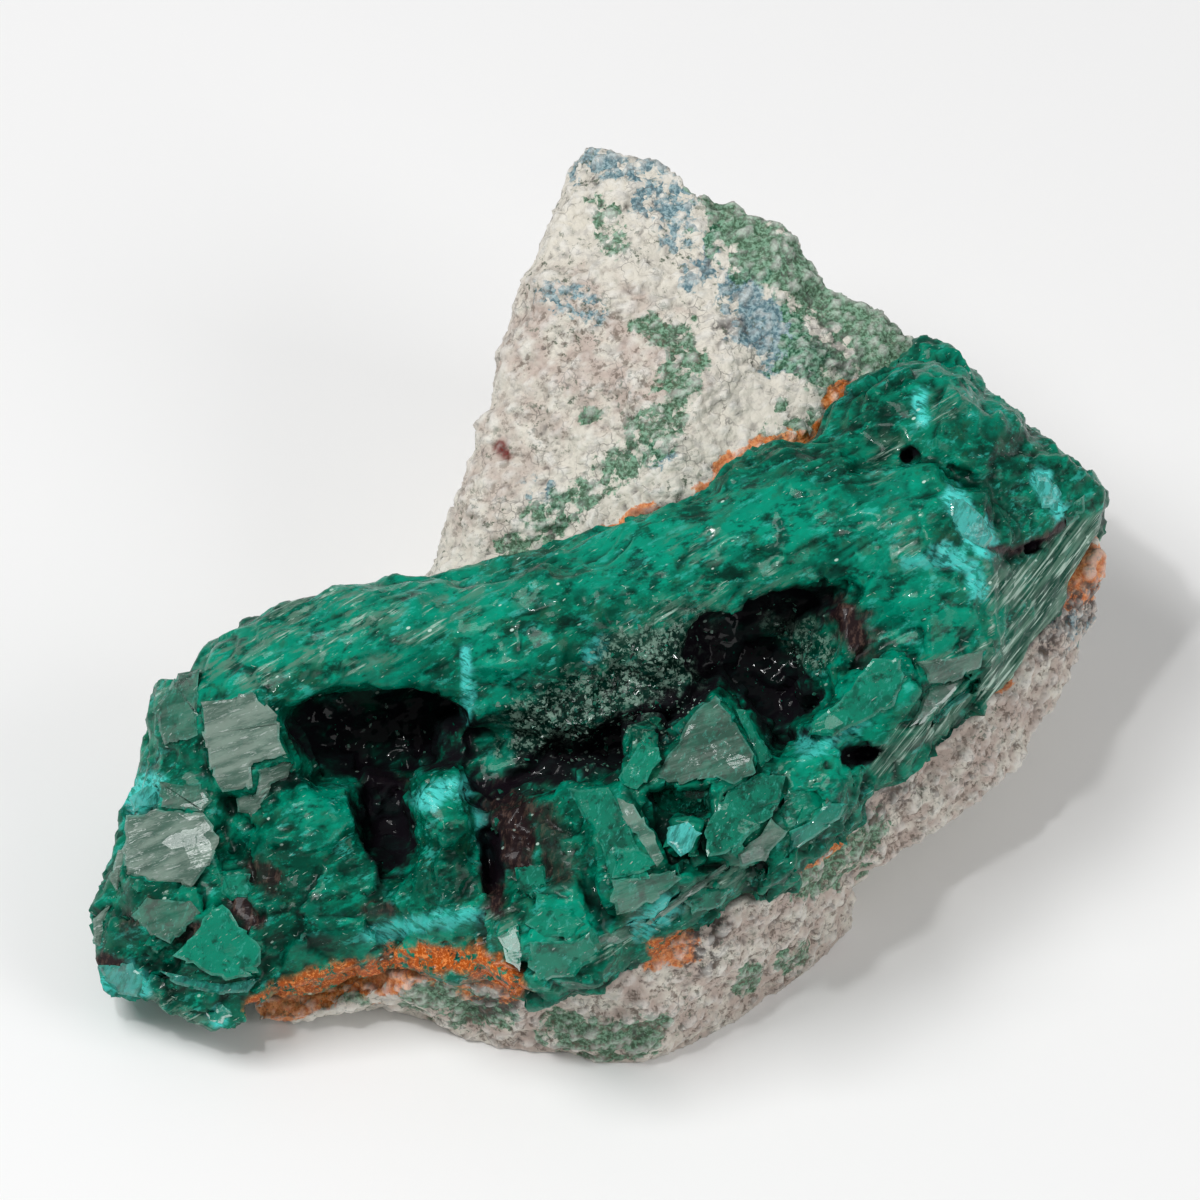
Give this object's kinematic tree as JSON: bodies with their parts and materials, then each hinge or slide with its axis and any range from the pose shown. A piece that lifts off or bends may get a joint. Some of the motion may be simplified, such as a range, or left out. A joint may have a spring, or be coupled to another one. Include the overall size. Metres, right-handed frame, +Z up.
{
  "type": "mineral specimen",
  "caption": "Hand specimen of dioptase: an emerald green crust of crystals with dark hollows on a wedge of sugary white rock with a flat base.",
  "frame": {"origin": "middle of the specimen's box, on the ground under it", "axes": "+Z up from the flat base, +X along the green crust from its low left end to its high right end, +Y to the back of the white slab"},
  "size_m": [0.0616, 0.0556, 0.0268],
  "materials": {
    "host_rock": "rough sugary rock, white with green, blue and rust stains",
    "dioptase": "glassy emerald green crystal, clear in thin edges and nearly opaque in the mass"
  },
  "bodies": {
    "root": {"matrix": "host_rock", "dioptase_crust": "dioptase"}
  },
  "joints": []
}
